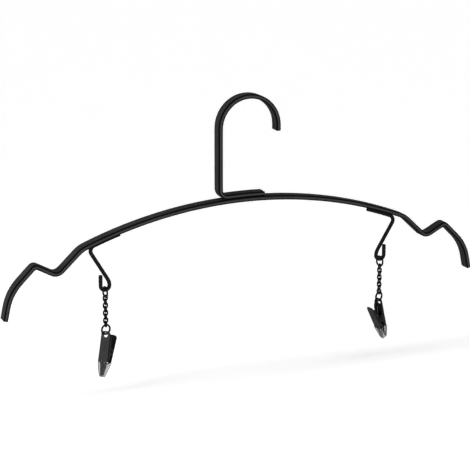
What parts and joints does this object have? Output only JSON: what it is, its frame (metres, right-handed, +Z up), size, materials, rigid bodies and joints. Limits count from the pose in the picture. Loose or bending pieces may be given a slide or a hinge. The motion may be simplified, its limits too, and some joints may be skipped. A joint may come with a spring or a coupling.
{
  "type": "skirt hanger",
  "caption": "Black flat-bar clothes hanger with a hook, strap notches and drooping ends, and capped spring clips hung on short chains from wire brackets to hold a skirt.",
  "frame": {"origin": "on the axis of the hook's half-round seat, halfway through the bar's depth", "axes": "+X along the shoulder bar towards the hook's open side, +Y from front to back along a rail in the hook, +Z up"},
  "size_m": [0.4418, 0.0182, 0.2375],
  "materials": {
    "bar_coat": "satin",
    "chain_metal": "gloss",
    "clip_metal": "satin",
    "spring_steel": "satin",
    "clear_cap": "gloss"
  },
  "bodies": {
    "frame": {"shoulder_bar": "bar_coat", "hook": "bar_coat", "left_bracket": "bar_coat", "right_bracket": "bar_coat"},
    "left_end_link": {"left_end_link": "chain_metal"},
    "left_chain_link_1": {"left_chain_link_1": "chain_metal"},
    "left_chain_link_2": {"left_chain_link_2": "chain_metal"},
    "left_chain_link_3": {"left_chain_link_3": "chain_metal"},
    "left_chain_link_4": {"left_chain_link_4": "chain_metal"},
    "left_chain_link_5": {"left_chain_link_5": "chain_metal"},
    "left_chain_link_6": {"left_chain_link_6": "chain_metal"},
    "left_chain_link_7": {"left_chain_link_7": "chain_metal"},
    "left_chain_link_8": {"left_chain_link_8": "chain_metal"},
    "left_ring": {"left_ring": "chain_metal"},
    "left_clip": {"left_clip_jaw": "clip_metal", "left_clip_pin": "clip_metal", "left_clip_spring": "spring_steel", "left_clip_jaw_tip": "clear_cap"},
    "left_lever": {"left_clip_lever": "clip_metal", "left_clip_lever_tip": "clear_cap"},
    "right_end_link": {"right_end_link": "chain_metal"},
    "right_chain_link_1": {"right_chain_link_1": "chain_metal"},
    "right_chain_link_2": {"right_chain_link_2": "chain_metal"},
    "right_chain_link_3": {"right_chain_link_3": "chain_metal"},
    "right_chain_link_4": {"right_chain_link_4": "chain_metal"},
    "right_chain_link_5": {"right_chain_link_5": "chain_metal"},
    "right_chain_link_6": {"right_chain_link_6": "chain_metal"},
    "right_chain_link_7": {"right_chain_link_7": "chain_metal"},
    "right_chain_link_8": {"right_chain_link_8": "chain_metal"},
    "right_ring": {"right_ring": "chain_metal"},
    "right_clip": {"right_clip_jaw": "clip_metal", "right_clip_pin": "clip_metal", "right_clip_spring": "spring_steel", "right_clip_jaw_tip": "clear_cap"},
    "right_lever": {"right_clip_lever": "clip_metal", "right_clip_lever_tip": "clear_cap"}
  },
  "joints": [
    {"name": "left_end_link_swing", "type": "hinge", "parent": "frame", "child": "left_end_link", "pos_m": [-0.13018, 0.0012, -0.13205], "axis": [1, 0, 0], "range_deg": [-40, 40]},
    {"name": "left_chain_link_1_swing", "type": "hinge", "parent": "left_end_link", "child": "left_chain_link_1", "pos_m": [-0.13018, 0.0012, -0.13837], "axis": [-0.1736, 0.9848, 0], "range_deg": [-16, 16]},
    {"name": "left_chain_link_2_swing", "type": "hinge", "parent": "left_chain_link_1", "child": "left_chain_link_2", "pos_m": [-0.13018, 0.0012, -0.14159], "axis": [0.9976, 0.0698, 0], "range_deg": [-16, 16]},
    {"name": "left_chain_link_3_swing", "type": "hinge", "parent": "left_chain_link_2", "child": "left_chain_link_3", "pos_m": [-0.13018, 0.0012, -0.14491], "axis": [-0.0698, 0.9976, 0], "range_deg": [-16, 16]},
    {"name": "left_chain_link_4_swing", "type": "hinge", "parent": "left_chain_link_3", "child": "left_chain_link_4", "pos_m": [-0.13018, 0.0012, -0.14823], "axis": [0.9976, 0.0698, 0], "range_deg": [-16, 16]},
    {"name": "left_chain_link_5_swing", "type": "hinge", "parent": "left_chain_link_4", "child": "left_chain_link_5", "pos_m": [-0.13018, 0.0012, -0.15155], "axis": [-0.0698, 0.9976, 0], "range_deg": [-16, 16]},
    {"name": "left_chain_link_6_swing", "type": "hinge", "parent": "left_chain_link_5", "child": "left_chain_link_6", "pos_m": [-0.13018, 0.0012, -0.15487], "axis": [0.9976, 0.0698, 0], "range_deg": [-16, 16]},
    {"name": "left_chain_link_7_swing", "type": "hinge", "parent": "left_chain_link_6", "child": "left_chain_link_7", "pos_m": [-0.13018, 0.0012, -0.15819], "axis": [-0.0698, 0.9976, 0], "range_deg": [-16, 16]},
    {"name": "left_chain_link_8_swing", "type": "hinge", "parent": "left_chain_link_7", "child": "left_chain_link_8", "pos_m": [-0.13018, 0.0012, -0.16151], "axis": [0.9976, 0.0698, 0], "range_deg": [-16, 16]},
    {"name": "left_ring_swing", "type": "hinge", "parent": "left_chain_link_8", "child": "left_ring", "pos_m": [-0.13018, 0.0012, -0.16483], "axis": [-0.0698, 0.9976, 0], "range_deg": [-16, 16]},
    {"name": "left_clip_swing", "type": "hinge", "parent": "left_ring", "child": "left_clip", "pos_m": [-0.13018, 0.0012, -0.1714], "axis": [0.9659, 0.2588, 0], "range_deg": [-35, 35]},
    {"name": "left_clip_open", "type": "hinge", "parent": "left_clip", "child": "left_lever", "pos_m": [-0.12973, 0.00157, -0.18699], "axis": [0.6428, -0.766, 0], "range_deg": [0, 22], "stiffness_Nm_per_rad": 0.05, "deforming": ["left_clip_spring"]},
    {"name": "right_end_link_swing", "type": "hinge", "parent": "frame", "child": "right_end_link", "pos_m": [0.13018, 0.0012, -0.13205], "axis": [1, 0, 0], "range_deg": [-40, 40]},
    {"name": "right_chain_link_1_swing", "type": "hinge", "parent": "right_end_link", "child": "right_chain_link_1", "pos_m": [0.13018, 0.0012, -0.13837], "axis": [-0.309, 0.9511, 0], "range_deg": [-16, 16]},
    {"name": "right_chain_link_2_swing", "type": "hinge", "parent": "right_chain_link_1", "child": "right_chain_link_2", "pos_m": [0.13018, 0.0012, -0.14159], "axis": [0.829, 0.5592, 0], "range_deg": [-16, 16]},
    {"name": "right_chain_link_3_swing", "type": "hinge", "parent": "right_chain_link_2", "child": "right_chain_link_3", "pos_m": [0.13018, 0.0012, -0.14491], "axis": [-0.5592, 0.829, 0], "range_deg": [-16, 16]},
    {"name": "right_chain_link_4_swing", "type": "hinge", "parent": "right_chain_link_3", "child": "right_chain_link_4", "pos_m": [0.13018, 0.0012, -0.14823], "axis": [0.829, 0.5592, 0], "range_deg": [-16, 16]},
    {"name": "right_chain_link_5_swing", "type": "hinge", "parent": "right_chain_link_4", "child": "right_chain_link_5", "pos_m": [0.13018, 0.0012, -0.15155], "axis": [-0.5592, 0.829, 0], "range_deg": [-16, 16]},
    {"name": "right_chain_link_6_swing", "type": "hinge", "parent": "right_chain_link_5", "child": "right_chain_link_6", "pos_m": [0.13018, 0.0012, -0.15487], "axis": [0.829, 0.5592, 0], "range_deg": [-16, 16]},
    {"name": "right_chain_link_7_swing", "type": "hinge", "parent": "right_chain_link_6", "child": "right_chain_link_7", "pos_m": [0.13018, 0.0012, -0.15819], "axis": [-0.5592, 0.829, 0], "range_deg": [-16, 16]},
    {"name": "right_chain_link_8_swing", "type": "hinge", "parent": "right_chain_link_7", "child": "right_chain_link_8", "pos_m": [0.13018, 0.0012, -0.16151], "axis": [0.829, 0.5592, 0], "range_deg": [-16, 16]},
    {"name": "right_ring_swing", "type": "hinge", "parent": "right_chain_link_8", "child": "right_ring", "pos_m": [0.13018, 0.0012, -0.16483], "axis": [-0.5592, 0.829, 0], "range_deg": [-16, 16]},
    {"name": "right_clip_swing", "type": "hinge", "parent": "right_ring", "child": "right_clip", "pos_m": [0.13018, 0.0012, -0.1714], "axis": [0.9135, 0.4067, 0], "range_deg": [-35, 35]},
    {"name": "right_clip_open", "type": "hinge", "parent": "right_clip", "child": "right_lever", "pos_m": [0.12963, 0.00102, -0.18699], "axis": [-0.309, 0.9511, 0], "range_deg": [0, 22], "stiffness_Nm_per_rad": 0.05, "deforming": ["right_clip_spring"]}
  ]
}
